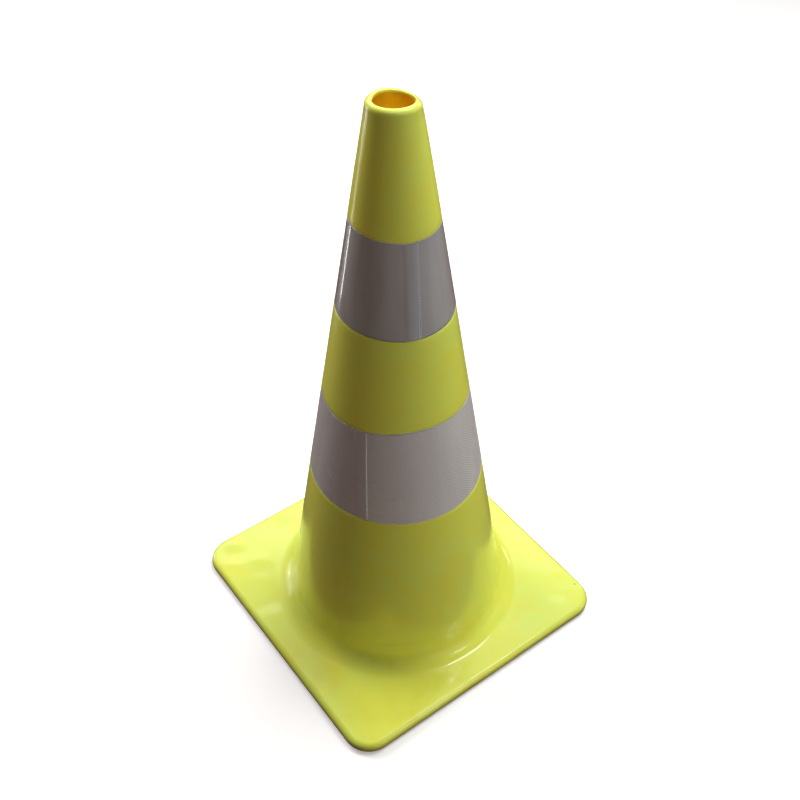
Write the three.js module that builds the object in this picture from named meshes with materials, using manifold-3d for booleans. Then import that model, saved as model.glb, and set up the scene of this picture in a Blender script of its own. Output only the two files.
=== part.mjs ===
// A PVC traffic cone of the 700 mm size: a hollow lime cone moulded in one piece with its square
// base flange, an orange inner layer, a recycled-PVC ballast slab cast under the flange, and two
// reflective collars, each a strip on a plastic sleeve that sits in a shallow recess in the cone.
// Millimetres, +Z up, origin on the ground under the middle of the square base.

import * as THREE from 'three';
import { mergeVertices } from 'three/addons/utils/BufferGeometryUtils.js';
import Module from 'manifold-3d';

const wasm = await Module();
wasm.setup();

// Cone and base flange
const HEIGHT = 706.5;
const BASE_SIDE = 373;
const BASE_CORNER_RADIUS = 33;
const BASE_TOP = 13.5;
const BASE_EDGE_RADIUS = 7.5;
const CONE_TOP_RADIUS = 25.7;
const CONE_FOOT_RADIUS = 136.7; // where the straight side would meet the flange top
const FOOT_FILLET_RADIUS = 25;
const SKIN = 2.8;
const SKIRT_BOTTOM = 2.5; // the flange's skirt stops above the ground

// Rolled lip at the top: the skin closes over the upper end of the liner
const HOLE_RADIUS = 19.4;
const LIP_DEPTH = 2.8;
const LIP_OUTER_ROUNDING = 5;
const LIP_INNER_ROUNDING = 1.2;

// Inner layers
const LINER_THICKNESS = 2.7;
const LINER_BOTTOM = 3;
const BALLAST_BOTTOM = 3;
const BALLAST_TIP_WIDTH = 2; // the ballast ends bluntly where the foot fillet runs out
const FOOT_INSET = 27; // from the base's outline to the middle of a foot pad
const CORNER_FOOT_RADIUS = 17;
const SIDE_FOOT_LENGTH = 60;
const SIDE_FOOT_WIDTH = 18;

// Collars: the heights of their edges, and the angle of their seam about the axis at those edges
const LOWER_COLLAR = { bottom: 240.5, top: 362.5, seamAtBottom: -54.9, seamAtTop: -58.5 };
const UPPER_COLLAR = { bottom: 477.5, top: 583.5, seamAtBottom: -12.4, seamAtTop: -7.8 };
const STRIP = 0.4; // thickness of a sleeve, and of the reflective strip on it
const SEAM_WIDTH = 1.2;

const GAP = 0.3; // clearance between neighbouring pieces
const RECESS = 2 * (STRIP + GAP); // a collar's face is flush with the cone's side
const FAR = 40; // how far a cutting tool runs past what it cuts
const FILLET_SINK = 0.05; // sets the fillet's edge just under the flange top, so the two cross

// Fineness of the round surfaces
const ROUND_SEGMENTS = 64;
const FILLET_SEGMENTS = 7;
const EDGE_SEGMENTS = 4;
const CORNER_SEGMENTS = 5;

// The cone's side is a straight line in the plane of radius and height
const TAPER = (CONE_FOOT_RADIUS - CONE_TOP_RADIUS) / (HEIGHT - BASE_TOP);
const HALF_ANGLE = Math.atan(TAPER);

// The foot fillet is an arc that touches the flange top and the cone's side
const FILLET_REACH = FOOT_FILLET_RADIUS / Math.tan((Math.PI / 2 + HALF_ANGLE) / 2);
const FILLET_CENTRE_RADIUS = CONE_FOOT_RADIUS + FILLET_REACH;
const FILLET_CENTRE_HEIGHT = BASE_TOP + FOOT_FILLET_RADIUS - FILLET_SINK;

const LIME_PVC = new THREE.MeshStandardMaterial({ color: 0xc9d32a, roughness: 0.35 });
const ORANGE_PVC = new THREE.MeshStandardMaterial({ color: 0xe87d12, roughness: 0.6 });
const BALLAST_PVC = new THREE.MeshStandardMaterial({ color: 0x2a2723, roughness: 0.85 });
const SLEEVE_PVC = new THREE.MeshStandardMaterial({ color: 0xc8c8c4, roughness: 0.5 });
const REFLECTIVE_STRIP = new THREE.MeshStandardMaterial({ color: 0xa8a8a6, roughness: 0.3, metalness: 0.2 });

/** The side's radius at a height, or that of a surface which lies a distance inside it. */
function sideRadius(height, inset = 0) {
  return CONE_FOOT_RADIUS - TAPER * (height - BASE_TOP) - inset / Math.cos(HALF_ANGLE);
}

function point(radius, height) {
  return new THREE.Vector2(radius, height);
}

/** Points round an arc. */
function arc(centreRadius, centreHeight, radius, fromAngle, toAngle, segments) {
  const points = [];
  for (let i = 0; i <= segments; i += 1) {
    const angle = fromAngle + ((toAngle - fromAngle) * i) / segments;
    points.push(point(centreRadius + radius * Math.cos(angle), centreHeight + radius * Math.sin(angle)));
  }
  return points;
}

/** The foot fillet, upwards from the flange to the cone's side, or a surface inset under it. */
function filletArc(inset = 0) {
  const radius = FOOT_FILLET_RADIUS + inset;
  const onFlange = -Math.PI / 2;
  const onSide = -Math.PI + HALF_ANGLE;
  return arc(FILLET_CENTRE_RADIUS, FILLET_CENTRE_HEIGHT, radius, onFlange, onSide, FILLET_SEGMENTS);
}

/** A closed geometry as a solid that can be joined and cut. */
function solid(geometry) {
  const bare = geometry.clone();
  bare.deleteAttribute('normal');
  bare.deleteAttribute('uv');
  const merged = mergeVertices(bare, 1e-4);
  const vertProperties = Float32Array.from(merged.attributes.position.array);
  const triVerts = Uint32Array.from(merged.index.array);
  return new wasm.Manifold(new wasm.Mesh({ numProp: 3, vertProperties, triVerts }));
}

function namedMesh(name, shape, material) {
  const { vertProperties, triVerts } = shape.getMesh();
  const geometry = new THREE.BufferGeometry();
  geometry.setAttribute('position', new THREE.BufferAttribute(vertProperties, 3));
  geometry.setIndex(new THREE.BufferAttribute(triVerts, 1));
  geometry.computeVertexNormals();
  const mesh = new THREE.Mesh(geometry, material);
  mesh.name = name;
  return mesh;
}

/** A profile turned about the Z axis. Its points run anticlockwise, with the axis on their left. */
function turned(profile) {
  const geometry = new THREE.LatheGeometry(profile, ROUND_SEGMENTS);
  return solid(geometry.rotateX(Math.PI / 2));
}

function box(width, depth, height, centre) {
  return solid(new THREE.BoxGeometry(width, depth, height).translate(...centre));
}

function roundedSquare(half, cornerRadius) {
  const shape = new THREE.Shape();
  const centre = half - cornerRadius;
  shape.absarc(centre, centre, cornerRadius, 0, Math.PI / 2);
  shape.absarc(-centre, centre, cornerRadius, Math.PI / 2, Math.PI);
  shape.absarc(-centre, -centre, cornerRadius, Math.PI, 1.5 * Math.PI);
  shape.absarc(centre, -centre, cornerRadius, 1.5 * Math.PI, 2 * Math.PI);
  shape.closePath();
  return shape;
}

/** The base's outline as a slab with a rounded upper edge, set inside the flange by a distance. */
function baseSlab(inset, bottom) {
  const edge = BASE_EDGE_RADIUS - inset;
  const top = BASE_TOP - inset;
  const outline = roundedSquare(BASE_SIDE / 2 - BASE_EDGE_RADIUS, BASE_CORNER_RADIUS - BASE_EDGE_RADIUS);
  const geometry = new THREE.ExtrudeGeometry(outline, {
    depth: FAR,
    bevelThickness: edge,
    bevelSize: edge,
    bevelSegments: EDGE_SEGMENTS,
    curveSegments: CORNER_SEGMENTS,
  });
  geometry.translate(0, 0, top - edge - FAR);
  const width = BASE_SIDE + FAR;
  const under = box(width, width, 2 * FAR, [0, 0, bottom - FAR]);
  return solid(geometry).subtract(under);
}

/** The cone's outside down to the middle of the flange, with a recess for each collar. */
function coneOutside() {
  const profile = [point(0, BASE_TOP / 2), point(FILLET_CENTRE_RADIUS, BASE_TOP / 2), ...filletArc()];
  for (const collar of [LOWER_COLLAR, UPPER_COLLAR]) {
    const low = collar.bottom - GAP;
    const high = collar.top + GAP;
    profile.push(point(sideRadius(low), low), point(sideRadius(low, RECESS), low));
    profile.push(point(sideRadius(high, RECESS), high), point(sideRadius(high), high));
  }
  const rounding = LIP_OUTER_ROUNDING;
  const shoulderHeight = HEIGHT - rounding;
  const shoulderRadius = sideRadius(shoulderHeight) - rounding;
  const shoulder = arc(shoulderRadius, shoulderHeight, rounding, 0, Math.PI / 2, EDGE_SEGMENTS);
  profile.push(...shoulder, point(0, HEIGHT));
  return turned(profile);
}

/** The room inside the skin: under the foot fillet, up the cone, and out through the lip's hole. */
function coneInside() {
  const lipUnderside = HEIGHT - LIP_DEPTH;
  const roundingHeight = HEIGHT - LIP_INNER_ROUNDING;
  const roundingRadius = HOLE_RADIUS + LIP_INNER_ROUNDING;
  return turned([
    point(0, -FAR),
    point(FILLET_CENTRE_RADIUS, -FAR),
    ...filletArc(SKIN),
    point(sideRadius(lipUnderside, SKIN), lipUnderside),
    point(HOLE_RADIUS, lipUnderside),
    ...arc(roundingRadius, roundingHeight, LIP_INNER_ROUNDING, Math.PI, Math.PI / 2, EDGE_SEGMENTS),
    point(roundingRadius, HEIGHT + FAR),
    point(0, HEIGHT + FAR),
  ]);
}

function coneShell() {
  const outside = coneOutside().add(baseSlab(0, SKIRT_BOTTOM));
  const inside = coneInside().add(baseSlab(SKIN, -FAR));
  return outside.subtract(inside);
}

/** The orange layer: a straight conical tube from just above the ground to under the lip. */
function innerLiner() {
  const top = HEIGHT - LIP_DEPTH - GAP;
  const outside = SKIN + GAP;
  const inside = outside + LINER_THICKNESS;
  return turned([
    point(sideRadius(LINER_BOTTOM, inside), LINER_BOTTOM),
    point(sideRadius(LINER_BOTTOM, outside), LINER_BOTTOM),
    point(sideRadius(top, outside), top),
    point(sideRadius(top, inside), top),
    point(sideRadius(LINER_BOTTOM, inside), LINER_BOTTOM),
  ]);
}

/** Anti-slip pads under the slab: a round one at each corner and a long one along each side. */
function footPads() {
  const reach = BASE_SIDE / 2 - FOOT_INSET;
  const height = 2 * BALLAST_BOTTOM;
  const pads = [];
  for (let quarter = 0; quarter < 4; quarter += 1) {
    const angle = (quarter * Math.PI) / 2;
    const corner = new THREE.CylinderGeometry(CORNER_FOOT_RADIUS, CORNER_FOOT_RADIUS, height, 24);
    corner.rotateX(Math.PI / 2).translate(reach, reach, height / 2).rotateZ(angle);
    const side = new THREE.BoxGeometry(SIDE_FOOT_WIDTH, SIDE_FOOT_LENGTH, height);
    side.translate(reach, 0, height / 2).rotateZ(angle);
    pads.push(solid(corner), solid(side));
  }
  return pads.reduce((joined, pad) => joined.add(pad));
}

/** The heavy slab: it fills the room under the flange and fillet, around the liner. */
function baseBallast() {
  const under = SKIN + GAP;
  const boreInset = SKIN; // the liner's outer face lies a gap inside this
  const wide = filletArc(under).filter((p) => p.x - sideRadius(p.y, boreInset) > BALLAST_TIP_WIDTH);
  const tip = wide[wide.length - 1];
  const heap = turned([point(0, -FAR), point(FILLET_CENTRE_RADIUS, -FAR), ...wide, point(0, tip.y)]);
  const bore = turned([
    point(0, -FAR),
    point(sideRadius(-FAR, boreInset), -FAR),
    point(sideRadius(HEIGHT / 2, boreInset), HEIGHT / 2),
    point(0, HEIGHT / 2),
  ]);
  const floor = box(BASE_SIDE + FAR, BASE_SIDE + FAR, 2 * FAR, [0, 0, BALLAST_BOTTOM - FAR]);
  const slab = heap.add(baseSlab(under, -FAR)).subtract(floor);
  return slab.add(footPads()).subtract(bore);
}

/** A conical band between two depths under the cone's side, slit along the collar's seam. */
function collarBand(collar, outerInset, innerInset) {
  const ring = turned([
    point(sideRadius(collar.bottom, innerInset), collar.bottom),
    point(sideRadius(collar.bottom, outerInset), collar.bottom),
    point(sideRadius(collar.top, outerInset), collar.top),
    point(sideRadius(collar.top, innerInset), collar.top),
    point(sideRadius(collar.bottom, innerInset), collar.bottom),
  ]);
  const height = collar.top - collar.bottom;
  const middle = (collar.top + collar.bottom) / 2;
  const radius = sideRadius(middle);
  const run = THREE.MathUtils.degToRad(collar.seamAtTop - collar.seamAtBottom) * radius;
  const slit = new THREE.BoxGeometry(FAR, SEAM_WIDTH, height + FAR);
  slit.rotateX(-Math.atan(run / height)).translate(radius, 0, middle);
  slit.rotateZ(THREE.MathUtils.degToRad((collar.seamAtTop + collar.seamAtBottom) / 2));
  return ring.subtract(solid(slit));
}

function addCollar(group, name, collar) {
  const sleeve = collarBand(collar, STRIP + GAP, 2 * STRIP + GAP);
  const face = collarBand(collar, 0, STRIP);
  group.add(namedMesh(`${name}_collar_backing`, sleeve, SLEEVE_PVC));
  group.add(namedMesh(`${name}_collar_face`, face, REFLECTIVE_STRIP));
}

const trafficCone = new THREE.Group();
trafficCone.add(namedMesh('cone_shell', coneShell(), LIME_PVC));
trafficCone.add(namedMesh('inner_liner', innerLiner(), ORANGE_PVC));
trafficCone.add(namedMesh('base_ballast', baseBallast(), BALLAST_PVC));
addCollar(trafficCone, 'lower', LOWER_COLLAR);
addCollar(trafficCone, 'upper', UPPER_COLLAR);

export default trafficCone;
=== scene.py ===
"""A lime PVC traffic cone with two reflective collars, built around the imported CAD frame.

Lengths of the cone are in millimetres and become metres as a mesh is made; lengths in materials,
lights and the floor are in metres. A side is given in degrees about the cone's axis from the
camera's side, positive to the right of the view; the names facing and around hold such degrees.
"""

import math

import bpy
import numpy as np
from mathutils import Euler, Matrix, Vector, noise


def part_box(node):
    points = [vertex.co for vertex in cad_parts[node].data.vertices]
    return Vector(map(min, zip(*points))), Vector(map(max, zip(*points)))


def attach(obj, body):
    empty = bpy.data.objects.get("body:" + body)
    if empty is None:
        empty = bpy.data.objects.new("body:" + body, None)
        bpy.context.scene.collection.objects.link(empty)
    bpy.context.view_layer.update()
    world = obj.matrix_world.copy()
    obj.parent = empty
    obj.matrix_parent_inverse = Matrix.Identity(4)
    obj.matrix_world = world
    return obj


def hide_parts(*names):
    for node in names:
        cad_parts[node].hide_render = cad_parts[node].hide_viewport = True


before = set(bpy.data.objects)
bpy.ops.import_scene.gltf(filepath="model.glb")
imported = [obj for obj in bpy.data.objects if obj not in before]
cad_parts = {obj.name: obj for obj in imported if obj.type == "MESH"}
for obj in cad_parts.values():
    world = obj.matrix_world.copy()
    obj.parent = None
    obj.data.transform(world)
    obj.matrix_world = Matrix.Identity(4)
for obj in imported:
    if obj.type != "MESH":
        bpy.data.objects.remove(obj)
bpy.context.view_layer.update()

MM = 0.001

# Sizes that the CAD model gives
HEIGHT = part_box("cone_shell")[1].z / MM
BASE_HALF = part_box("cone_shell")[1].x / MM
SKIRT_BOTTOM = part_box("cone_shell")[0].z / MM
LINER_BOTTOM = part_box("inner_liner")[0].z / MM
LINER_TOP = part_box("inner_liner")[1].z / MM

# Sizes repeated from the CAD model
BASE_TOP = 13.5
BASE_CORNER = 33.0
BASE_EDGE = 7.5
CONE_TOP_RADIUS = 25.7
CONE_FOOT_RADIUS = 136.7
FILLET = 25.0
SKIN = 2.8
HOLE_RADIUS = 19.4
LIP_DEPTH = 2.8
LIP_OUTER = 5.0
LIP_INNER = 1.2
LINER_THICKNESS = 2.7
BALLAST_BOTTOM = 3.0
BALLAST_TIP = 2.0
FOOT_INSET = 27.0
CORNER_FOOT_RADIUS = 17.0
SIDE_FOOT = (18.0, 60.0)
STRIP = 0.4
GAP = 0.3
RECESS = 2 * (STRIP + GAP)

TAPER = (CONE_FOOT_RADIUS - CONE_TOP_RADIUS) / (HEIGHT - BASE_TOP)
HALF_ANGLE = math.atan(TAPER)
FILLET_RUN = FILLET / math.tan((math.pi / 2 + HALF_ANGLE) / 2)  # how far it runs out over the flange
FILLET_CENTRE = (CONE_FOOT_RADIUS + FILLET_RUN, BASE_TOP + FILLET)

# The camera looks down at the cone from this side
VIEW_AZIMUTH = 53.607
VIEW_ELEVATION = 44.523
VIEW_ROLL = -0.147
FACING = VIEW_AZIMUTH - 90  # bearing from +X of the side that faces the camera


# ---------------------------------------------------------------- outlines

SECTORS = 448
SPREAD = 0.45  # crowds the sectors towards the base's corners, where the outline turns


def sector_bearings():
    even = np.arange(SECTORS) * 2 * math.pi / SECTORS
    return even + SPREAD / 4 * np.sin(4 * even)


BEARINGS = sector_bearings()


def facing(bearings):
    """Bearings in radians as degrees from the camera's side, between -180 and 180."""
    return (np.degrees(bearings) - FACING + 180) % 360 - 180


def hump(degrees, centre, width):
    """A smooth bump round a bearing, the same after a whole turn."""
    away = (degrees - centre + 180) % 360 - 180
    return np.exp(-((away / width) ** 2))


def cone_radius(height, inset=0.0):
    return CONE_FOOT_RADIUS - TAPER * (height - BASE_TOP) - inset / math.cos(HALF_ANGLE)


def square_radius(inset, bearings=BEARINGS):
    """Distance from the axis to the base's outline, moved inwards by inset, at each bearing."""
    half = BASE_HALF - inset
    corner = BASE_CORNER - inset
    folded = np.abs((bearings + math.pi / 4) % (math.pi / 2) - math.pi / 4)
    straight = half / np.cos(folded)
    middle = half - corner
    along = middle * (np.cos(folded) + np.sin(folded))
    turned = along + np.sqrt(np.maximum(along**2 - 2 * middle**2 + corner**2, 0))
    return np.where(half * np.tan(folded) <= middle, straight, turned)


def row(radius, height, bearings=BEARINGS):
    """Points right round the axis. The radius and the height may vary with the bearing."""
    radius = np.broadcast_to(radius, bearings.shape)
    height = np.broadcast_to(height, bearings.shape)
    return np.stack([radius * np.cos(bearings), radius * np.sin(bearings), height], axis=1)


def arc_rows(centre, radius, start, end, count):
    """Rows round an arc in the plane of radius and height."""
    angles = np.linspace(start, end, count)
    return [row(centre[0] + radius * math.cos(a), centre[1] + radius * math.sin(a)) for a in angles]


def fillet_rows(inset, count):
    """The foot fillet from the cone's side down to the flange, or a surface inset under it."""
    return arc_rows(FILLET_CENTRE, FILLET + inset, -math.pi + HALF_ANGLE, -math.pi / 2, count)


def edge_rows(inset, count):
    """The flange's rounded edge from its top outwards and down, or one inset inside it."""
    turn = BASE_EDGE - inset
    centre_height = BASE_TOP - BASE_EDGE
    rows = []
    for a in np.linspace(0, math.pi / 2, count):
        radius = square_radius(BASE_EDGE - turn * math.sin(a))
        rows.append(row(radius, centre_height + turn * math.cos(a)))
    return rows


def flat_rows(inset, count):
    """The flat of the flange between the foot fillet's circle and the edge's square, ends left out."""
    circle, square = FILLET_CENTRE[0], square_radius(BASE_EDGE)
    shares = np.linspace(0, 1, count + 2)[1:-1]
    return [row(circle * (1 - t) + square * t, BASE_TOP - inset) for t in shares]


def side_rows(top, bottom, count, inset=0.0):
    """Rows down the cone's side between two heights, which may vary with the bearing."""
    rows = []
    for t in np.linspace(0, 1, count):
        height = top * (1 - t) + bottom * t
        rows.append(row(cone_radius(height, inset), height))
    return rows


# ---------------------------------------------------------------- meshes

SHARP = math.radians(35)  # edges that turn more than this are shaded as edges


def new_piece(name, points, faces, node, material):
    """A smooth closed mesh that stands for a CAD node. points are in millimetres."""
    points = np.asarray(points, dtype=float) * MM
    mesh = bpy.data.meshes.new(name)
    mesh.from_pydata(points.tolist(), [], faces)
    if signed_volume(mesh) < 0:
        mesh.flip_normals()
    mesh.shade_smooth()
    mesh.set_sharp_from_angle(angle=SHARP)
    mesh.materials.append(material)
    piece = bpy.data.objects.new(name, mesh)
    bpy.context.scene.collection.objects.link(piece)
    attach(piece, "root")
    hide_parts(node)
    return piece


def signed_volume(mesh):
    """Six times the volume, negative when the faces look inwards."""
    mesh.calc_loop_triangles()
    count = len(mesh.loop_triangles)
    corners = np.empty(count * 3, dtype=np.int32)
    mesh.loop_triangles.foreach_get("vertices", corners)
    points = np.empty(len(mesh.vertices) * 3)
    mesh.vertices.foreach_get("co", points)
    a, b, c = (points.reshape(-1, 3)[corners.reshape(-1, 3)[:, i]] for i in range(3))
    return float(np.einsum("ij,ij->i", a, np.cross(b, c)).sum())


def ring_faces(rings, sectors):
    """Quads of a tube whose rings and sectors both close on themselves."""
    grid = np.arange(rings * sectors).reshape(rings, sectors)
    below = np.roll(grid, -1, axis=0)
    quads = np.stack([grid, np.roll(grid, -1, axis=1), np.roll(below, -1, axis=1), below], axis=-1)
    return quads.reshape(-1, 4).tolist()


def strip_faces(columns, loop):
    """Quads of an open strip whose section is a closed loop, with a face over each end."""
    grid = np.arange(columns * loop).reshape(columns, loop)
    here, ahead = grid[:-1], grid[1:]
    quads = np.stack([here, np.roll(here, -1, axis=1), np.roll(ahead, -1, axis=1), ahead], axis=-1)
    return quads.reshape(-1, 4).tolist() + [grid[0][::-1].tolist(), grid[-1].tolist()]


# ---------------------------------------------------------------- small deformations

LEAN_START = 642.5  # height above which the mouth is out of true
RIM_TILT = 2.3  # how far the mouth stands up at the front, and down at the back
RIM_RISE = 1.6  # how much of that drop the back left makes up for
RIM_SAG = (0.5, 1.4)  # further drop at the back right: at the hole, and what the lip's outside adds
RIM_SQUASH = 0.05  # share by which the right side is pushed in
# Dents and swellings of the flange: x, y, half width and height of each
FLANGE_WAVES = (
    (-152, -146, 12, -0.3),
    (-128, -134, 10, 0.9),
    (-172, -150, 9, 0.7),
    (-143, -166, 9, 0.6),
    (-112, -140, 12, -0.2),
    (-158, -80, 20, -0.9),
    (-38, -163, 16, 0.8),
    (-70, -172, 22, -0.7),
    (94, -168, 30, 0.7),
    (148, 150, 15, -0.7),
    (120, 164, 18, 0.5),
    (166, 20, 26, -0.5),
    (-150, 130, 32, 0.9),
    (20, 168, 34, -0.7),
)


def rim_lean(points):
    """The mouth is not quite level or round: up at the front, down and pushed in at the back right."""
    reach = np.clip((points[:, 2] - LEAN_START) / (HEIGHT - LEAN_START), 0, 1) ** 2
    around = facing(np.arctan2(points[:, 1], points[:, 0]))
    outer = np.clip((np.hypot(points[:, 0], points[:, 1]) - HOLE_RADIUS) / LIP_OUTER, 0, 1)
    lift = RIM_TILT * np.cos(np.radians(around)) + RIM_RISE * hump(around, -150, 38)
    sag = (RIM_SAG[0] + RIM_SAG[1] * outer) * hump(around, 128, 36)
    squash = RIM_SQUASH * outer * hump(around, 108, 30) * reach**2
    points[:, 2] += (lift - sag) * reach
    points[:, :2] *= 1 - squash[:, None]


def flange_waves(points):
    """The flange is soft and lies a little uneven."""
    near = np.clip((FILLET_CENTRE[1] - points[:, 2]) / FILLET, 0, 1) ** 2
    for x, y, width, height in FLANGE_WAVES:
        distance = (points[:, 0] - x) ** 2 + (points[:, 1] - y) ** 2
        points[:, 2] += near * height * np.exp(-distance / width**2)


def surface_ripple(points, amount, size, seed):
    """Moves points along their radius by smooth noise, so that reflections aren't quite straight."""
    offset = Vector((seed, 0, 0))
    shift = np.array([noise.noise(Vector(p) / size + offset) for p in points.tolist()]) * amount
    outwards = points[:, :2] / np.maximum(np.linalg.norm(points[:, :2], axis=1, keepdims=True), 1)
    points[:, :2] += outwards * shift[:, None]


# ---------------------------------------------------------------- collars


class Collar:
    """A reflective collar. Its edges wander a little, and its seam leans from one side to another."""

    def __init__(self, name, seam_top, seam_bottom, top_wave, bottom_wave):
        low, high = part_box(f"{name}_collar_face")
        self.name = name
        self.bottom, self.top = low.z / MM, high.z / MM
        self.seam_top, self.seam_bottom = seam_top, seam_bottom
        self.top_wave, self.bottom_wave = top_wave, bottom_wave

    def top_edge(self, bearings):
        return self.top + self.top_wave(facing(bearings))

    def bottom_edge(self, bearings):
        return self.bottom + self.bottom_wave(facing(bearings))

    def seam(self, t):
        """Bearing of the seam in radians from +X, a share t of the way up the collar."""
        return np.radians(self.seam_bottom * (1 - t) + self.seam_top * t + FACING)

    def radius(self, t):
        return cone_radius(self.bottom * (1 - t) + self.top * t)


def sideways_tilt(amount):
    """An edge that stands higher on the left of the view and lower on the right."""
    return lambda around: -amount * np.sin(np.radians(around))


def upper_top_edge(around):
    return sideways_tilt(2.5)(around) - 0.7 * hump(around, 20, 16)


def upper_bottom_edge(around):
    return sideways_tilt(1.8)(around) - 1.4 * hump(around, 18, 45)


def lower_top_edge(around):
    return 2.3 * hump(around, 18, 26) - 2.6 * hump(around, -45, 30) - 2.8 * hump(around, 85, 30)


def lower_bottom_edge(around):
    return sideways_tilt(1.6)(around) - 1.4 * hump(around, 30, 45)


UPPER = Collar("upper", 28.6, 24.0, upper_top_edge, upper_bottom_edge)
LOWER = Collar("lower", -22.1, -18.5, lower_top_edge, lower_bottom_edge)


# ---------------------------------------------------------------- cone, liner, ballast


def recess_rows(collar):
    """The shallow recess a collar sits in, with softened shoulders, from its top to its bottom."""
    high = collar.top_edge(BEARINGS) + GAP
    low = collar.bottom_edge(BEARINGS) - GAP
    soft, crest = 0.35, 0.1
    return [
        row(cone_radius(high + soft), high + soft),
        row(cone_radius(high, crest), high + crest),
        row(cone_radius(high, soft), high),
        row(cone_radius(high, RECESS), high),
        row(cone_radius((high + low) / 2, RECESS), (high + low) / 2),
        row(cone_radius(low, RECESS), low),
        row(cone_radius(low, soft), low),
        row(cone_radius(low, crest), low - crest),
        row(cone_radius(low - soft), low - soft),
    ]


def outside_rows():
    """From the edge of the hole over the lip and down the side with both recesses to the skirt."""
    inner = (HOLE_RADIUS + LIP_INNER, HEIGHT - LIP_INNER)
    outer_height = HEIGHT - LIP_OUTER
    outer = (cone_radius(outer_height) - LIP_OUTER, outer_height)
    rows = [row(HOLE_RADIUS, HEIGHT - LIP_DEPTH)]
    rows += arc_rows(inner, LIP_INNER, math.pi, math.pi / 2, 7)
    rows += arc_rows(outer, LIP_OUTER, math.pi / 2, 0, 12)
    upper = recess_rows(UPPER)
    lower = recess_rows(LOWER)
    rows += side_rows(outer_height, upper[0][:, 2], 24)[1:-1] + upper
    rows += side_rows(upper[-1][:, 2], lower[0][:, 2], 24)[1:-1] + lower
    fillet = fillet_rows(0, 26)
    rows += side_rows(lower[-1][:, 2], fillet[0][:, 2], 36)[1:-1] + fillet
    rows += flat_rows(0, 14) + edge_rows(0, 12)
    return rows


def inside_rows():
    """The hidden side of the skin: from the skirt's bottom back up to the underside of the lip."""
    foot = SKIRT_BOTTOM - 0.4
    rows = [row(square_radius(0.7), foot), row(square_radius(SKIN - 0.6), foot)]
    rows += edge_rows(SKIN, 6)[::-1]
    rows += flat_rows(SKIN, 3)[::-1]
    rows += fillet_rows(SKIN, 12)[::-1]
    underside = HEIGHT - LIP_DEPTH
    return rows + side_rows(underside, rows[-1][:, 2], 16, SKIN)[:-1][::-1]


def cone_shell(material):
    outside = np.concatenate(outside_rows())
    inside = np.concatenate(inside_rows())
    surface_ripple(outside, amount=0.35, size=70, seed=3)
    flange_waves(outside)
    points = np.concatenate([outside, inside])
    rim_lean(points)
    faces = ring_faces(len(points) // SECTORS, SECTORS)
    return new_piece("cone_shell_moulding", points, faces, "cone_shell", material)


def inner_liner(material):
    outside = SKIN + GAP
    inside = outside + LINER_THICKNESS
    rows = side_rows(LINER_TOP, LINER_BOTTOM, 40, outside)
    rows += side_rows(LINER_BOTTOM, LINER_TOP, 40, inside)
    points = np.concatenate(rows)
    rim_lean(points)
    faces = ring_faces(len(rows), SECTORS)
    return new_piece("inner_liner_layer", points, faces, "inner_liner", material)


def ballast_rows():
    """The slab under the flange: up inside the foot fillet, out to the skirt, and back underneath."""
    under = SKIN + GAP
    bore = SKIN
    bevel = 0.8
    inner_ring = 150

    def thickness(fillet_row):
        return np.hypot(*fillet_row[0, :2]) - cone_radius(fillet_row[0, 2], bore)

    rows = [r for r in fillet_rows(under, 16) if thickness(r) > BALLAST_TIP]
    tip_height = rows[0][0, 2]
    rows = [row(cone_radius(tip_height, bore), tip_height)] + rows
    rows += flat_rows(under, 3) + edge_rows(under, 6)
    outline = square_radius(under)
    rows[-1] = row(outline, BALLAST_BOTTOM + 0.6)
    rows.append(row(square_radius(under + 1.0), BALLAST_BOTTOM))
    rows += [row(outline * (1 - t) + inner_ring * t, BALLAST_BOTTOM) for t in (0.3, 0.6, 1.0)]
    rows.append(row(cone_radius(BALLAST_BOTTOM, bore) + bevel, BALLAST_BOTTOM))
    rows.append(row(cone_radius(BALLAST_BOTTOM + bevel, bore), BALLAST_BOTTOM + bevel))
    return rows


def pad_object(name, outline, height):
    """A foot pad with a softened lower edge, from its outline in millimetres."""
    soft = 0.8
    centre = outline.mean(axis=0)
    inwards = centre + (outline - centre) * (1 - soft / np.abs(outline - centre).max())
    layers = [(inwards, 0.0), (outline, soft), (outline, height)]
    points = [(x, y, z) for ring, z in layers for x, y in ring]
    count = len(outline)
    faces = [list(range(count))[::-1], list(range(2 * count, 3 * count))]
    for low in (0, count):
        for i in range(count):
            j = (i + 1) % count
            faces.append([low + i, low + j, low + count + j, low + count + i])
    mesh = bpy.data.meshes.new(name)
    mesh.from_pydata((np.array(points) * MM).tolist(), [], faces)
    pad = bpy.data.objects.new(name, mesh)
    bpy.context.scene.collection.objects.link(pad)
    return pad


def foot_pads():
    """Four round pads near the corners and four bars along the sides, which reach up into the slab."""
    reach = BASE_HALF - FOOT_INSET
    pad_top = BALLAST_BOTTOM + 1.5
    pads = []
    for quarter in range(4):
        turn = quarter * math.pi / 2
        spin = np.array([[math.cos(turn), math.sin(turn)], [-math.sin(turn), math.cos(turn)]])
        around = np.linspace(0, 2 * math.pi, 48, endpoint=False)
        disc = CORNER_FOOT_RADIUS * np.stack([np.cos(around), np.sin(around)], axis=1) + reach
        wide, long = SIDE_FOOT
        bar = np.array([[-wide, -long], [wide, -long], [wide, long], [-wide, long]]) / 2 + [reach, 0]
        pads.append(pad_object(f"pad_corner_{quarter}", disc @ spin, pad_top))
        pads.append(pad_object(f"pad_side_{quarter}", bar @ spin, pad_top))
    return pads


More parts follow.
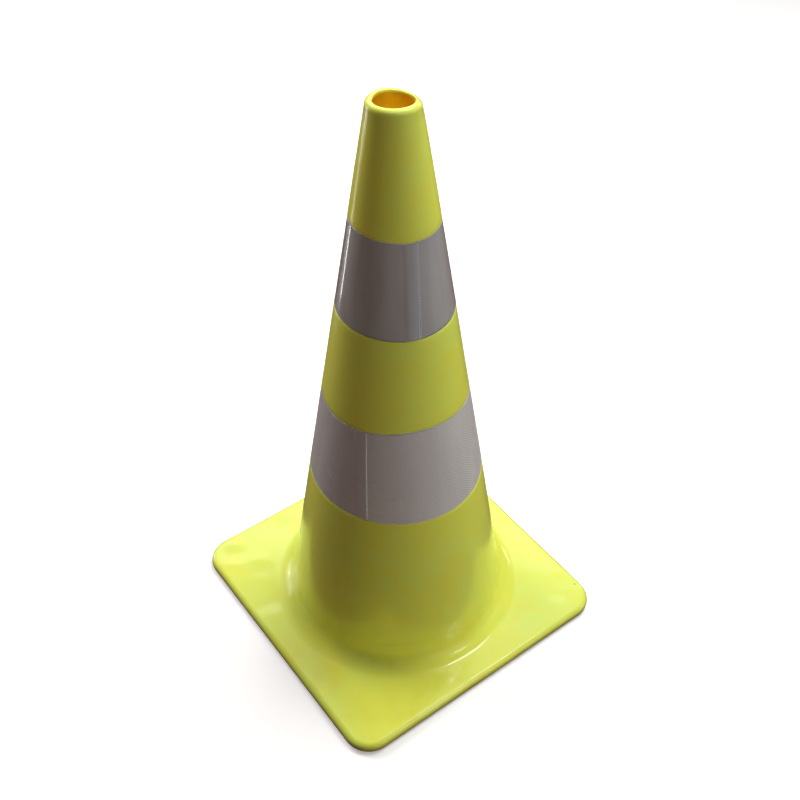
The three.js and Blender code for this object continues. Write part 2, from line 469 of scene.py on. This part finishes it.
def base_ballast(material):
    rows = ballast_rows()
    points = np.concatenate(rows)
    faces = ring_faces(len(rows), SECTORS)
    slab = new_piece("base_ballast_slab", points, faces, "base_ballast", material)
    for pad in foot_pads():
        join = slab.modifiers.new("join", "BOOLEAN")
        join.operation = "UNION"
        join.solver = "EXACT"
        join.object = pad
        bpy.context.view_layer.update()
        seen = slab.evaluated_get(bpy.context.evaluated_depsgraph_get())
        joined = bpy.data.meshes.new_from_object(seen)
        slab.modifiers.clear()
        slab.data = joined
        bpy.data.objects.remove(pad)
    slab.data.shade_smooth()
    slab.data.set_sharp_from_angle(angle=SHARP)
    return slab


# ---------------------------------------------------------------- collar pieces

MARGIN = 0.9  # the sleeve shows as a fine line above and below the reflective strip
LAP = 11.0  # length of the strip's end that lies over its start
RAMP = 6.0  # length over which the end climbs onto the start
LAP_CLEARANCE = 0.14
CELL = 3.6  # pitch of the lower strip's diamond cells
CELL_RELIEF = 0.12
CELL_LINE = 0.22  # half width of a raised line, as a share of the pitch


def seam_bearings(collar, t, overlap, columns, zigzag):
    """Bearings of one row of a collar, from the covered start, right round, to the end on top."""
    radius = collar.radius(t)
    start = collar.seam(t) - overlap / radius
    end = collar.seam(t) + 2 * math.pi + zigzag / radius
    return np.linspace(start, end, columns)


def lap_lift(collar, t, bearings):
    """How far the strip's end stands out as it climbs over its own start."""
    before_end = (collar.seam(t) + 2 * math.pi - bearings) * collar.radius(t)
    climb = np.clip((LAP + RAMP - before_end) / RAMP, 0, 1)
    return (STRIP + LAP_CLEARANCE) * climb * climb * (3 - 2 * climb)


def cells_round():
    """How many diamond cells go round the lower strip."""
    return round(2 * math.pi * cone_radius((LOWER.top + LOWER.bottom) / 2) / CELL)


def diamond_relief(bearings, height):
    """Raised lines between the diamond cells of the lower strip, worn faint on its left side."""
    across = bearings * cells_round() / (2 * math.pi)
    up = height / CELL
    line = np.minimum(np.abs((across + up) % 1 - 0.5), np.abs((across - up) % 1 - 0.5))
    worn = 0.7 * hump(facing(bearings), -60, 36)
    return CELL_RELIEF * np.clip(1 - line / CELL_LINE, 0, 1) * (1 - worn)


def film_buckle(bearings, height):
    """Faint upright waves of the smooth film."""
    around = facing(bearings)
    wide = 0.10 * np.sin(np.radians(around * 5 + 20))
    narrow = 0.05 * np.sin(np.radians(around * 11 + height * 0.35))
    dip = -0.35 * hump(around, 46, 15)
    crease = 0.35 * hump(around, -75, 4)
    return wide + narrow + dip + crease


def collar_face(collar, relief, columns, levels, zigzag, material):
    """The reflective strip: one closed strip with relief on its outside, lapped at the seam."""
    inner_rows, outer_rows = [], []
    for i, t in enumerate(np.linspace(0, 1, levels)):
        tooth = zigzag * (1 if i % 2 else -1)
        bearings = seam_bearings(collar, t, LAP, columns, tooth)
        low = collar.bottom_edge(bearings) + MARGIN + GAP
        high = collar.top_edge(bearings) - MARGIN - GAP
        height = low * (1 - t) + high * t
        lift = lap_lift(collar, t, bearings)
        outer = cone_radius(height) + lift + relief(bearings, height)
        inner = cone_radius(height, STRIP) + lift
        outer_rows.append(row(outer, height, bearings))
        inner_rows.append(row(inner, height, bearings))
    loop = np.stack(outer_rows + [inner_rows[-1], inner_rows[0]], axis=1)
    points = loop.reshape(-1, 3)
    faces = strip_faces(columns, loop.shape[1])
    name, node = f"{collar.name}_collar_reflective_strip", f"{collar.name}_collar_face"
    return new_piece(name, points, faces, node, material)


def collar_backing(collar, material):
    """The sleeve: a thin band whose edges turn out to frame the strip, slit at the seam. Each point of
    its section is a distance in from an edge, the edge (1 top, -1 bottom) and a depth in the skin."""
    columns, slit = 360, 0.6
    section = ((0, 1, 0.2), (MARGIN, 1, 0.2), (MARGIN, 1, STRIP + GAP), (MARGIN, -1, STRIP + GAP))
    section += ((MARGIN, -1, 0.2), (0, -1, 0.2), (0, -1, 2 * STRIP + GAP), (0, 1, 2 * STRIP + GAP))
    loop = []
    for inwards, side, inset in section:
        t = 1.0 if side > 0 else 0.0
        bearings = seam_bearings(collar, t, -slit, columns, -slit)
        edge = collar.top_edge(bearings) if side > 0 else collar.bottom_edge(bearings)
        height = edge - side * inwards
        loop.append(row(cone_radius(height, inset), height, bearings))
    points = np.stack(loop, axis=1).reshape(-1, 3)
    faces = strip_faces(columns, len(section))
    name, node = f"{collar.name}_collar_sleeve", f"{collar.name}_collar_backing"
    return new_piece(name, points, faces, node, material)


# ---------------------------------------------------------------- materials

MOULD_MARK = 47.0  # height of the fine crease that the mould leaves round the foot


class Finish:
    """A node material being put together: add makes a node, joins its inputs and returns it."""

    def __init__(self, name):
        self.material = bpy.data.materials.new(name)
        self.material.use_nodes = True
        self.tree = self.material.node_tree
        self.shader = self.tree.nodes["Principled BSDF"]
        self.place = self.add("ShaderNodeTexCoord").outputs["Object"]

    def add(self, kind, inputs=None, **settings):
        node = self.tree.nodes.new(kind)
        for key, value in settings.items():
            setattr(node, key, value)
        for key, value in (inputs or {}).items():
            self.put(node.inputs[key], value)
        return node

    def put(self, socket, value):
        """Joins another node's output to an input, or sets the input to a plain value."""
        if isinstance(value, bpy.types.NodeSocket):
            self.tree.links.new(value, socket)
        else:
            socket.default_value = value

    def set(self, **values):
        """Values of the shader's own sockets; underscores in a name stand for spaces."""
        for key, value in values.items():
            self.put(self.shader.inputs[key.replace("_", " ")], value)

    def noise(self, scale, detail=3.0, roughness=0.5, vector=None):
        inputs = {"Vector": vector or self.place, "Scale": scale, "Detail": detail}
        inputs["Roughness"] = roughness
        return self.add("ShaderNodeTexNoise", inputs).outputs["Fac"]

    def stretched(self, x, y, z):
        inputs = {"Vector": self.place, "Scale": (x, y, z)}
        return self.add("ShaderNodeMapping", inputs).outputs["Vector"]

    def math(self, operation, a, b=0.0, clamp=False):
        return self.add("ShaderNodeMath", {0: a, 1: b}, operation=operation, use_clamp=clamp).outputs[0]

    def step(self, value, low, high, to_low=0.0, to_high=1.0):
        """value between low and high as a soft step between to_low and to_high."""
        inputs = {0: value, 1: low, 2: high, 3: to_low, 4: to_high}
        return self.add("ShaderNodeMapRange", inputs, interpolation_type="SMOOTHSTEP").outputs[0]

    def mix(self, share, a, b):
        inputs = {0: share, 6: a, 7: b}
        return self.add("ShaderNodeMix", inputs, data_type="RGBA").outputs[2]

    def axes(self):
        return self.add("ShaderNodeSeparateXYZ", {0: self.place}).outputs

    def bump(self, height, strength, distance, normal=None):
        inputs = {"Height": height, "Strength": strength, "Distance": distance}
        if normal:
            inputs["Normal"] = normal
        return self.add("ShaderNodeBump", inputs).outputs["Normal"]


def lime_pvc():
    """Lime with yellower clouds, ochre smudges low down, painted shade darkening the flange's side
    towards the floor, and a few specks. The flange and the lip are glossier than the side."""
    f = Finish("lime_pvc")
    # The last colour is the dark of the specks and of the painted shade along the foot of the flange.
    lime, yellow, ochre, grime_and_shade = (
        (0.79, 0.935, 0.148, 1),
        (0.89, 0.88, 0.085, 1),
        (0.70, 0.60, 0.050, 1),
        (0.20, 0.17, 0.040, 1),
    )
    height = f.axes()["Z"]
    clouds = f.step(f.noise(9.0, 4.0, 0.55), 0.36, 0.66)
    mottle = f.step(f.noise(42.0, 5.0, 0.6), 0.40, 0.66)
    colour = f.mix(f.math("MULTIPLY", clouds, 0.55), lime, yellow)
    colour = f.mix(f.math("MULTIPLY", mottle, 0.40), colour, yellow)
    low = f.step(height, 0.012, 0.07, 1.0, 0.0)
    smudge = f.step(f.noise(16.0, 4.0, 0.6), 0.50, 0.75)
    colour = f.mix(f.math("MULTIPLY", f.math("MULTIPLY", smudge, low), 0.25), colour, ochre)
    # Painted shade: the flange's side darkens towards the floor, below a ragged line.
    ragged = f.math("ADD", height, f.math("MULTIPLY", f.noise(60.0), 0.002))
    painted_edge_shade = f.step(ragged, 0.0055, 0.0128, 1.0, 0.0)
    colour = f.mix(f.math("MULTIPLY", painted_edge_shade, 0.68), colour, grime_and_shade)
    spots = f.add("ShaderNodeTexVoronoi", {"Vector": f.place, "Scale": 26.0}, distance="EUCLIDEAN")
    draw = f.add("ShaderNodeSeparateColor", {0: spots.outputs["Color"]}).outputs[0]
    rare = f.math("GREATER_THAN", draw, 0.88)
    speck = f.math("MULTIPLY", f.step(spots.outputs["Distance"], 0.02, 0.045, 1.0, 0.0), rare)
    colour = f.mix(f.math("MULTIPLY", speck, 0.6), colour, grime_and_shade)
    lip = f.step(height, 0.690, 0.697)
    foot_polish = f.step(height, 0.10, 0.22, 0.45, 0.08)
    polish = f.math("MAXIMUM", foot_polish, f.math("MULTIPLY", lip, 0.5))
    mark = f.math("ABSOLUTE", f.math("SUBTRACT", height, MOULD_MARK * MM))
    in_parts = f.step(f.noise(14.0, 2.0), 0.40, 0.55)
    groove = f.math("MULTIPLY", f.step(mark, 0.0002, 0.0009, -1.0, 0.0), in_parts)
    peel = f.bump(f.noise(420.0, 2.0), 0.03, 0.0002)
    f.set(Base_Color=colour, Roughness=f.step(f.noise(14.0, 3.0), 0.3, 0.7, 0.19, 0.27))
    f.set(IOR=1.5, Coat_Weight=polish, Coat_Roughness=0.06, Normal=f.bump(groove, 0.6, 0.0003, peel))
    return f.material


def orange_pvc():
    f = Finish("orange_pvc")
    patches = f.step(f.noise(24.0, 4.0, 0.6), 0.35, 0.7)
    colour = f.mix(patches, (0.98, 0.68, 0.015, 1), (0.97, 0.54, 0.012, 1))
    f.set(Base_Color=colour, Roughness=f.step(f.noise(60.0, 3.0), 0.3, 0.7, 0.38, 0.55))
    f.set(Normal=f.bump(f.noise(300.0, 3.0), 0.12, 0.0004), IOR=1.5)
    return f.material


def ballast_pvc():
    f = Finish("ballast_pvc")
    grain = f.noise(420.0, 5.0, 0.7)
    crumbs = f.step(f.noise(160.0, 2.0), 0.62, 0.74)
    colour = f.mix(grain, (0.020, 0.018, 0.016, 1), (0.060, 0.053, 0.045, 1))
    colour = f.mix(f.math("MULTIPLY", crumbs, 0.35), colour, (0.16, 0.12, 0.05, 1))
    rough = f.bump(grain, 0.5, 0.0006)
    f.set(Base_Color=colour, Roughness=f.step(grain, 0.3, 0.7, 0.65, 0.9))
    f.set(Normal=f.bump(crumbs, 0.3, 0.0005, rough))
    return f.material


def collar_sleeve_finish():
    """Pale plastic, with painted shade along the upper sleeve's lower edge."""
    f = Finish("collar_sleeve")
    colour = f.mix(f.noise(90.0, 4.0, 0.6), (0.80, 0.84, 0.74, 1), (0.66, 0.70, 0.62, 1))
    height = f.axes()["Z"]
    middle = (UPPER.top + UPPER.bottom) / 2 * MM
    between = (UPPER.bottom + LOWER.top) / 2 * MM
    # Painted shade: the upper sleeve's lower half is darkened, and of it only the lower margin shows.
    over = f.math("GREATER_THAN", height, between)
    below = f.math("MULTIPLY", f.math("LESS_THAN", height, middle), over)
    colour = f.mix(f.math("MULTIPLY", below, 0.8), colour, (0.16, 0.16, 0.17, 1))
    f.set(Base_Color=colour, Roughness=f.step(f.noise(200.0), 0.3, 0.7, 0.35, 0.5), IOR=1.5)
    f.set(Normal=f.bump(f.noise(500.0), 0.08, 0.0003))
    return f.material


def film_colour(f, light, dark, tint):
    """Grey film with faint upright streaks, and a mauve tint in places."""
    streaks = f.step(f.noise(42.0, 3.0, 0.6, f.stretched(1, 1, 0.05)), 0.34, 0.68)
    tinted = f.step(f.noise(12.0, 2.0, 0.5, f.stretched(1, 1, 0.15)), 0.38, 0.66)
    colour = f.mix(streaks, dark, light)
    return f.mix(f.math("MULTIPLY", tinted, 0.5), colour, tint)


def past_seam(f, collar):
    """Distance in metres past a collar's seam, counted the way the strip was wound."""
    x, y, z = f.axes()
    bottom, top = collar.bottom * MM, collar.top * MM
    share = f.math("DIVIDE", f.math("SUBTRACT", z, bottom), top - bottom)
    start, end = (math.radians(FACING + seam) for seam in (collar.seam_bottom, collar.seam_top))
    seam = f.math("ADD", f.math("MULTIPLY", share, end - start), start)
    radius = float(cone_radius((collar.bottom + collar.top) / 2)) * MM
    return f.math("MULTIPLY", f.math("SUBTRACT", f.math("ARCTAN2", y, x), seam), radius)


def cut_edge(f, distance, width):
    """A line along the seam, where the pale core of the strip shows."""
    return f.step(f.math("ABSOLUTE", distance), width * 0.4, width, 1.0, 0.0)


def upper_film():
    """Smooth glossy film, bluish where it laps, with a pale zigzag cut at the seam."""
    f = Finish("upper_reflective_film")
    colour = film_colour(f, (0.46, 0.50, 0.50, 1), (0.39, 0.41, 0.41, 1), (0.43, 0.41, 0.47, 1))
    distance = past_seam(f, UPPER)
    pale = (0.62, 0.68, 0.72, 1)
    lap_start = f.step(distance, -0.008, -0.004)
    lap = f.math("MULTIPLY", lap_start, f.step(distance, -0.001, 0.0, 1.0, 0.0))
    colour = f.mix(f.math("MULTIPLY", lap, 0.42), colour, (0.44, 0.54, 0.66, 1))
    teeth = f.step(f.math("FRACT", f.math("DIVIDE", f.axes()["Z"], 0.0034)), 0.2, 0.5, 0.45, 1.0)
    colour = f.mix(f.math("MULTIPLY", cut_edge(f, distance, 0.0016), teeth), colour, pale)
    fibres = f.noise(900.0, 2.0, 0.5, f.stretched(1, 1, 0.12))
    f.set(Base_Color=colour, Roughness=f.step(f.noise(12.0, 2.0), 0.3, 0.7, 0.17, 0.21))
    f.set(Normal=f.bump(fibres, 0.05, 0.0002), IOR=1.5, Coat_Weight=0.8, Coat_Roughness=0.04)
    return f.material


def lower_film():
    """Film with a pale line between the diamond cells, painted faint left of the seam, where the strip
    catches less light.
    """
    f = Finish("lower_reflective_film")
    colour = film_colour(f, (0.58, 0.61, 0.60, 1), (0.52, 0.54, 0.53, 1), (0.56, 0.53, 0.60, 1))
    x, y, z = f.axes()
    across = f.math("MULTIPLY", f.math("ARCTAN2", y, x), cells_round() / (2 * math.pi))
    up = f.math("DIVIDE", z, CELL * MM)
    lines = []
    for join in ("ADD", "SUBTRACT"):
        place = f.math("FRACT", f.math(join, across, up))
        lines.append(f.math("ABSOLUTE", f.math("SUBTRACT", place, 0.5)))
    line = f.step(f.math("MINIMUM", *lines), 0.05, 0.22, 1.0, 0.0)
    distance = past_seam(f, LOWER)
    # Painted light: the pale lines are faint left of the seam, where the strip catches less light.
    clear = f.step(distance, -0.002, 0.002, 0.25, 1.0)
    shade = f.math("MULTIPLY", line, clear)
    colour = f.mix(f.math("MULTIPLY", shade, 0.55), colour, (0.90, 0.92, 0.90, 1))
    colour = f.mix(cut_edge(f, distance, 0.0011), colour, (0.80, 0.86, 0.88, 1))
    f.set(Base_Color=colour, Roughness=f.step(f.noise(12.0, 2.0), 0.3, 0.7, 0.24, 0.28))
    f.set(Normal=f.bump(line, 0.15, 0.0002), IOR=1.5, Coat_Weight=0.05, Coat_Roughness=0.14)
    return f.material


# ---------------------------------------------------------------- stage, lights, camera

AIM_HEIGHT = 0.1  # the lights point at the axis, this far above the floor


def towards(facing_degrees, elevation):
    """Unit vector to a direction counted from the camera's side of the cone."""
    bearing, lift = math.radians(FACING + facing_degrees), math.radians(elevation)
    level = math.cos(lift)
    return Vector((math.cos(bearing) * level, math.sin(bearing) * level, math.sin(lift)))


def area_light(name, facing_degrees, elevation, distance, size, watts, colour=(1, 1, 1), only=None):
    """A rectangular light. One that is only for gloss shows in reflections and does nothing else, and
    one that is only for shade doesn't show in them."""
    data = bpy.data.lights.new(name, "AREA")
    data.shape = "RECTANGLE"
    data.size, data.size_y = size
    data.energy = watts
    data.color = colour
    lamp = bpy.data.objects.new(name, data)
    bpy.context.scene.collection.objects.link(lamp)
    away = towards(facing_degrees, elevation)
    lamp.location = Vector((0, 0, AIM_HEIGHT)) + away * distance
    lamp.rotation_euler = away.to_track_quat("Z", "Y").to_euler()
    lamp.visible_diffuse = only != "gloss"
    lamp.visible_glossy = only != "shade"


def mouth_spot():
    """A narrow beam from the front into the open top, which lights the orange layer inside."""
    data = bpy.data.lights.new("mouth_spot", "SPOT")
    data.energy = 66
    data.spot_size = math.radians(1.5)
    data.spot_blend = 0.6
    data.shadow_soft_size = 0.01
    lamp = bpy.data.objects.new("mouth_spot", data)
    bpy.context.scene.collection.objects.link(lamp)
    away = towards(10, 60)
    lamp.location = Vector((0, 0, HEIGHT * MM)) + away * 1.5
    lamp.rotation_euler = away.to_track_quat("Z", "Y").to_euler()


def lights():
    area_light("key", 140, 64, 2.4, (1.4, 1.0), 42, (1.0, 1.0, 0.99), only="shade")
    area_light("left_fill", -130, 38, 2.4, (1.2, 1.2), 37, (1.0, 0.945, 0.97), only="shade")
    area_light("right_fill", 90, 15, 2.3, (0.9, 0.9), 8.2, only="shade")
    area_light("front_fill", 45, 17, 2.3, (1.2, 0.9), 12.5, (1.0, 0.965, 0.94), only="shade")
    area_light("tube", 106, 67, 2.3, (0.10, 0.62), 6, only="gloss")
    area_light("front_glint", 57, 37, 2.2, (0.30, 0.08), 3, only="gloss")
    area_light("back_wall", 180, 42, 2.6, (2.2, 0.9), 14, only="gloss")
    area_light("ceiling", 180, 65, 2.4, (1.5, 0.8), 3, only="gloss")
    area_light("left_wall", -120, 5, 2.4, (0.9, 1.2), 7, (0.86, 0.90, 1.0), only="gloss")
    area_light("right_wall", 100, 15, 2.4, (0.9, 0.9), 0.6, only="gloss")
    area_light("low_window", -123, -9, 2.0, (0.05, 0.85), 1.3, (0.95, 0.98, 1.0), only="gloss")
    area_light("right_window", 140, 24, 2.2, (0.14, 0.6), 2, (0.95, 0.98, 1.0), only="gloss")
    mouth_spot()


def surroundings():
    """Dim grey from above and a warm brown from below, so that the sides stay deep in tone."""
    world = bpy.data.worlds.new("surroundings")
    world.use_nodes = True
    bpy.context.scene.world = world
    tree = world.node_tree
    direction = tree.nodes.new("ShaderNodeTexCoord").outputs["Generated"]
    split = tree.nodes.new("ShaderNodeSeparateXYZ")
    tree.links.new(direction, split.inputs[0])
    rise = tree.nodes.new("ShaderNodeMapRange")
    rise.interpolation_type = "SMOOTHSTEP"
    tree.links.new(split.outputs["Z"], rise.inputs[0])
    rise.inputs["From Min"].default_value = -0.1
    rise.inputs["From Max"].default_value = 0.7
    blend = tree.nodes.new("ShaderNodeMix")
    blend.data_type = "RGBA"
    tree.links.new(rise.outputs[0], blend.inputs[0])
    blend.inputs[6].default_value = (0.12, 0.062, 0.038, 1)
    blend.inputs[7].default_value = (0.03, 0.03, 0.03, 1)
    tree.links.new(blend.outputs[2], tree.nodes["Background"].inputs["Color"])


def floor():
    """A pale studio floor that glows a little and curves up into a wall far behind. It takes shadows,
    but throws no light back at the cone and doesn't show in its gloss."""
    flat, bend, wall = 2.6, 1.4, 4.2
    profile = [(1.0, 0.0), (flat, 0.0)]
    for a in np.linspace(0, math.pi / 2, 12)[1:]:
        profile.append((flat + bend * math.sin(a), bend * (1 - math.cos(a))))
    profile.append((flat + bend, wall))
    around = np.linspace(0, 2 * math.pi, 96, endpoint=False)
    points = [(r * math.cos(a), r * math.sin(a), z) for r, z in profile for a in around]
    count, rings = len(around), len(profile)
    faces = [list(range(count))]
    for k in range(rings - 1):
        for i in range(count):
            j = (i + 1) % count
            faces.append([k * count + j, k * count + i, (k + 1) * count + i, (k + 1) * count + j])
    mesh = bpy.data.meshes.new("studio_floor")
    mesh.from_pydata(points, [], faces)
    mesh.shade_smooth()
    paint = Finish("studio_floor")
    paint.set(Base_Color=(1.0, 1.0, 0.99, 1), Roughness=0.9)
    paint.set(Emission_Color=(1, 1, 1, 1), Emission_Strength=0.28)
    mesh.materials.append(paint.material)
    piece = bpy.data.objects.new("studio_floor", mesh)
    bpy.context.scene.collection.objects.link(piece)
    for ray in ("visible_diffuse", "visible_glossy", "visible_transmission", "visible_shadow"):
        setattr(piece, ray, False)


def camera():
    """The photograph's viewpoint: 1.2 m from the cone, looking down at about 45 degrees."""
    target_height, target_right, target_up = 376.8, 5.0, -29.7
    distance, focal_length = 1203.3, 49.73
    azimuth, elevation = math.radians(VIEW_AZIMUTH), math.radians(VIEW_ELEVATION)
    back = towards(0, VIEW_ELEVATION)
    right = Vector((math.cos(azimuth), math.sin(azimuth), 0))
    up = back.cross(right)
    target = Vector((0, 0, target_height)) + right * target_right + up * target_up
    data = bpy.data.cameras.new("camera")
    data.lens = focal_length
    data.clip_start = 0.05
    eye = bpy.data.objects.new("camera", data)
    bpy.context.scene.collection.objects.link(eye)
    eye.location = (target + back * distance) * MM
    upright = Euler((math.pi / 2 - elevation, 0, azimuth)).to_quaternion()
    eye.rotation_euler = (upright @ Euler((0, 0, math.radians(VIEW_ROLL))).to_quaternion()).to_euler()
    bpy.context.scene.camera = eye


# ---------------------------------------------------------------- assembly

camera()
lights()
surroundings()
floor()
bpy.context.scene.view_settings.view_transform = "Standard"

cone_shell(lime_pvc())
inner_liner(orange_pvc())
base_ballast(ballast_pvc())
sleeve = collar_sleeve_finish()
collar_backing(UPPER, sleeve)
collar_backing(LOWER, sleeve)
collar_face(UPPER, film_buckle, columns=420, levels=60, zigzag=0.35, material=upper_film())
collar_face(LOWER, diamond_relief, columns=800, levels=150, zigzag=0.0, material=lower_film())
